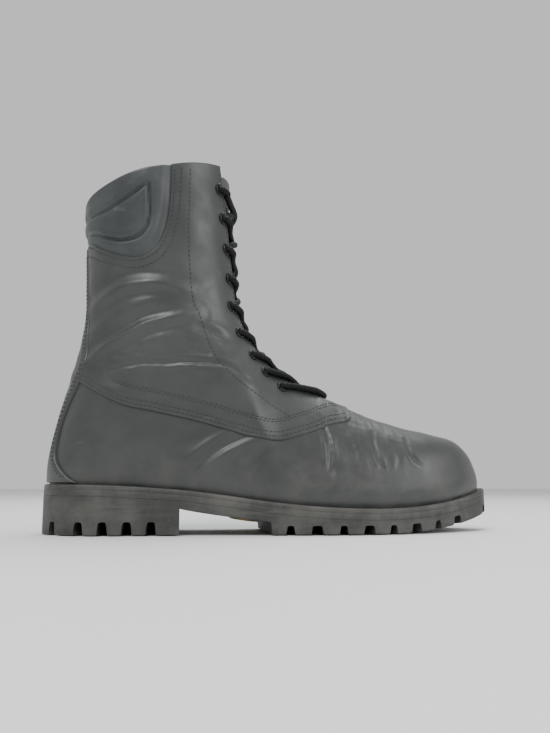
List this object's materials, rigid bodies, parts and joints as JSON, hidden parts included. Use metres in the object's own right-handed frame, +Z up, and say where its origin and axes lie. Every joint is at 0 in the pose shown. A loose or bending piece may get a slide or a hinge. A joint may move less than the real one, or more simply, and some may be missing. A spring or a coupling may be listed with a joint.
{
  "type": "combat boot",
  "caption": "Lace-up leather combat boot for the right foot, with a padded collar, closed instep, welted construction and a deeply lugged rubber sole with a separate heel.",
  "frame": {"origin": "on the floor under the middle of the boot's bounding box", "axes": "+X from heel to toe, +Y to the inner (medial) side of this right boot, +Z up"},
  "size_m": [0.303, 0.0986, 0.245],
  "materials": {
    "upper_leather": "semi-matt",
    "lining": "matt",
    "sole_rubber": "matt",
    "sole_edge": "matt",
    "eyelet_metal": "gloss",
    "lace_cord": "matt",
    "plate": "satin"
  },
  "bodies": {
    "root": {"eyelet_inner_1": "eyelet_metal", "eyelet_inner_2": "eyelet_metal", "eyelet_inner_3": "eyelet_metal", "eyelet_inner_4": "eyelet_metal", "eyelet_inner_5": "eyelet_metal", "eyelet_inner_6": "eyelet_metal", "eyelet_inner_7": "eyelet_metal", "eyelet_inner_8": "eyelet_metal", "eyelet_inner_9": "eyelet_metal", "eyelet_outer_1": "eyelet_metal", "eyelet_outer_2": "eyelet_metal", "eyelet_outer_3": "eyelet_metal", "eyelet_outer_4": "eyelet_metal", "eyelet_outer_5": "eyelet_metal", "eyelet_outer_6": "eyelet_metal", "eyelet_outer_7": "eyelet_metal", "eyelet_outer_8": "eyelet_metal", "eyelet_outer_9": "eyelet_metal", "heel_block": "sole_rubber", "insole": "lining", "lace_crossing_1": "lace_cord", "lace_crossing_2": "lace_cord", "lace_crossing_3": "lace_cord", "lace_crossing_4": "lace_cord", "lace_crossing_5": "lace_cord", "lace_crossing_6": "lace_cord", "lace_crossing_7": "lace_cord", "lace_crossing_8": "lace_cord", "midsole": "sole_edge", "outsole": "sole_rubber", "tongue": "upper_leather", "upper": "upper_leather", "waist_plate": "plate", "welt": "sole_edge"}
  },
  "joints": []
}
